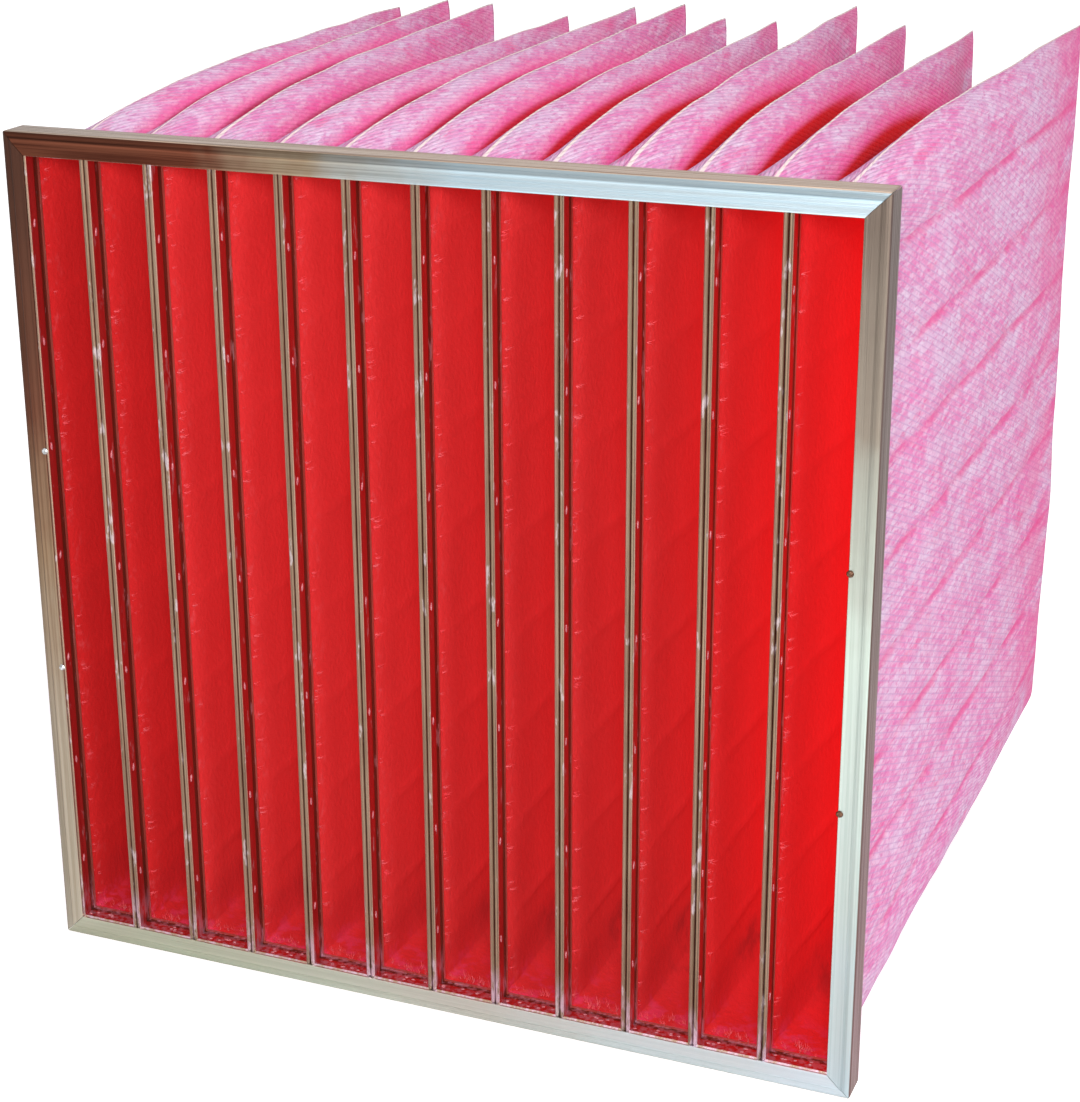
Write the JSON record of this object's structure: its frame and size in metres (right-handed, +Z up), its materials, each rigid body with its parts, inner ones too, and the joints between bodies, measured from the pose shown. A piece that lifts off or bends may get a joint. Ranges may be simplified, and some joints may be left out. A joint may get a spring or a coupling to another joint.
{
  "type": "bag air filter",
  "caption": "Bag air filter: long tapering medium pockets clamped in sheet-metal channel frames inside a square steel header.",
  "frame": {"origin": "on the underside of the header, midway along it and midway through its depth", "axes": "+Z up along the pocket mouths, +Y downstream from the open mouths to the pockets' far edges, +X to the right seen from the mouths"},
  "size_m": [0.5991, 0.6266, 0.613],
  "materials": {
    "header_steel": "galvanised, satin with soft streaks",
    "channel_steel": "galvanised sheet, satin",
    "medium": "lofted glass-fibre medium on an open-weave backing, matt",
    "rivet": "satin"
  },
  "bodies": {
    "root": {"header_top": "header_steel", "header_bottom": "header_steel", "header_left": "header_steel", "header_right": "header_steel", "pocket_frame_01": "channel_steel", "pocket_frame_02": "channel_steel", "pocket_frame_03": "channel_steel", "pocket_frame_04": "channel_steel", "pocket_frame_05": "channel_steel", "pocket_frame_06": "channel_steel", "pocket_frame_07": "channel_steel", "pocket_frame_08": "channel_steel", "pocket_frame_09": "channel_steel", "pocket_frame_10": "channel_steel", "pocket_frame_11": "channel_steel", "pocket_frame_12": "channel_steel", "pocket_01": "medium", "pocket_02": "medium", "pocket_03": "medium", "pocket_04": "medium", "pocket_05": "medium", "pocket_06": "medium", "pocket_07": "medium", "pocket_08": "medium", "pocket_09": "medium", "pocket_10": "medium", "pocket_11": "medium", "pocket_12": "medium", "rivet_left_1": "rivet", "rivet_left_2": "rivet", "rivet_right_1": "rivet", "rivet_right_2": "rivet"}
  },
  "joints": []
}
